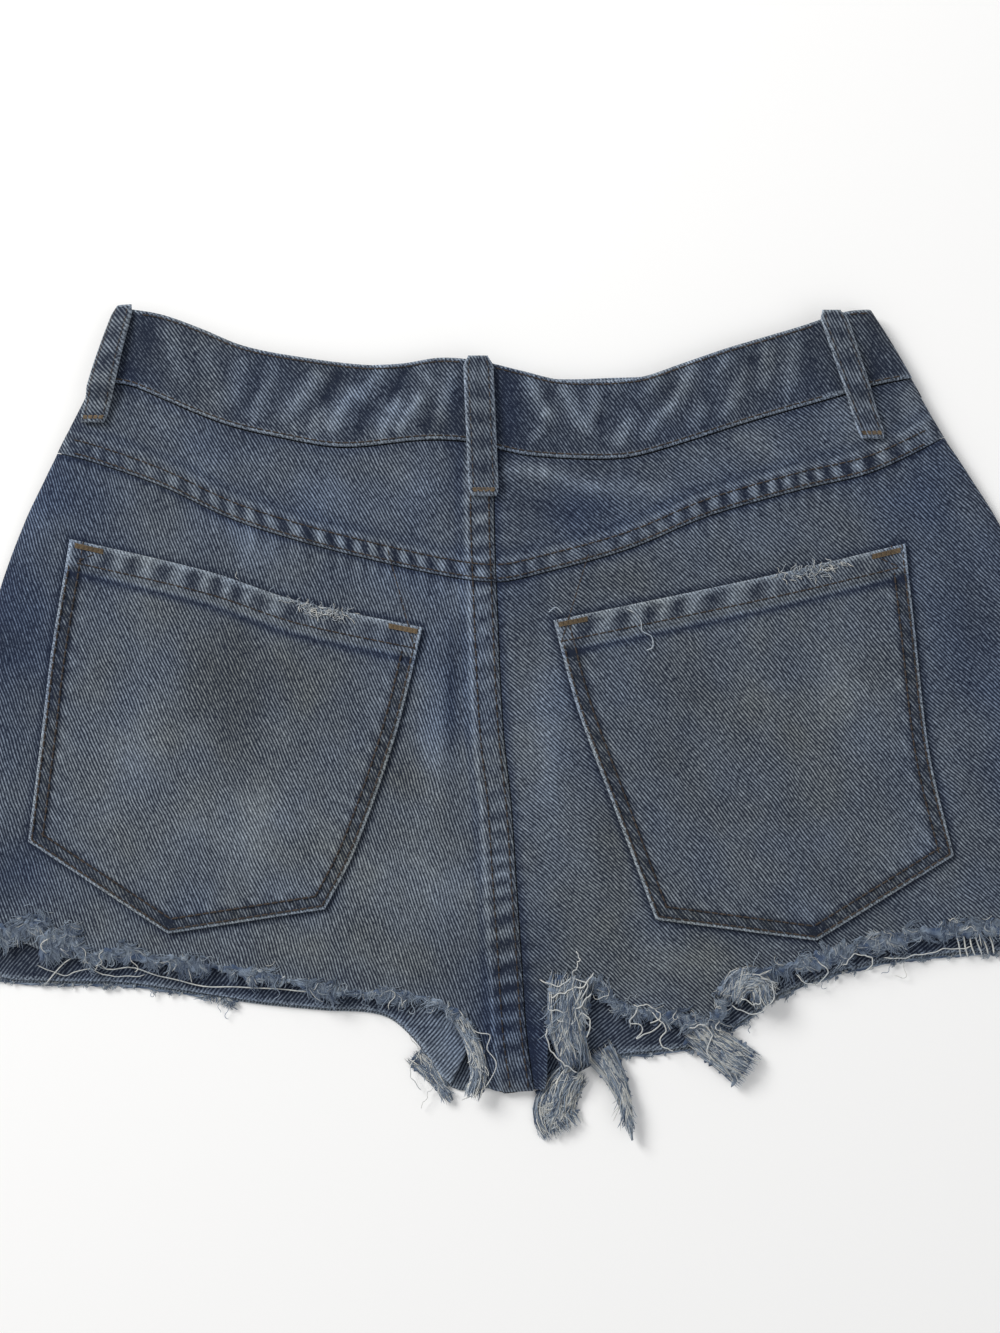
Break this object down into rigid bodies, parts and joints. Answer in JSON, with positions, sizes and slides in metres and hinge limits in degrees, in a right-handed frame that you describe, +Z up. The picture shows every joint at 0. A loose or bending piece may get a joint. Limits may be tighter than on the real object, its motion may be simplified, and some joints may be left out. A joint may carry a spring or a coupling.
{
  "type": "denim cut-off shorts",
  "caption": "Worn denim cut-off shorts lying flat, back up, with a waistband, belt loops, yoke, back patch pockets and frayed raw hems.",
  "frame": {"origin": "middle of the whole outline, on the surface the shorts lie on", "axes": "+X across the body to the right as seen from above, +Y from the hems to the waist, +Z up out of the back"},
  "size_m": [0.4792, 0.359, 0.013],
  "materials": {
    "denim": "worn blue twill",
    "band_denim": "worn blue twill, darker",
    "inner_denim": "twill, turned or inner layer",
    "fray": "loose blue-grey and white cotton threads",
    "zip_tape": "woven tape",
    "zip_metal": "aged",
    "button_metal": "aged"
  },
  "bodies": {
    "root": {"yoke_left": "denim", "yoke_right": "denim", "back_panel_left": "denim", "back_panel_right": "denim", "back_pocket_left": "denim", "back_pocket_right": "denim", "front_panel_left": "denim", "front_panel_right": "denim", "belt_loop_back_left": "denim", "belt_loop_back_centre": "denim", "belt_loop_back_right": "denim", "belt_loop_front_left": "denim", "belt_loop_front_right": "denim", "waistband_back": "band_denim", "waistband_front_left": "band_denim", "waistband_front_right": "band_denim", "pocket_facing_left": "inner_denim", "pocket_facing_right": "inner_denim", "fly_shield": "inner_denim", "hem_turn_left": "inner_denim", "hem_turn_right": "inner_denim", "fray_back_left": "fray", "fray_back_right": "fray", "fray_front_left": "fray", "fray_front_right": "fray", "tuft_left_tip": "fray", "tuft_left_edge": "fray", "tuft_centre": "fray", "tuft_round": "fray", "tuft_point": "fray", "tuft_right_low": "fray", "tuft_right_curl": "fray", "zip_tape_left": "zip_tape", "zip_tape_right": "zip_tape", "zip_chain": "zip_metal", "zip_slider": "zip_metal", "waist_button": "button_metal"}
  },
  "joints": []
}
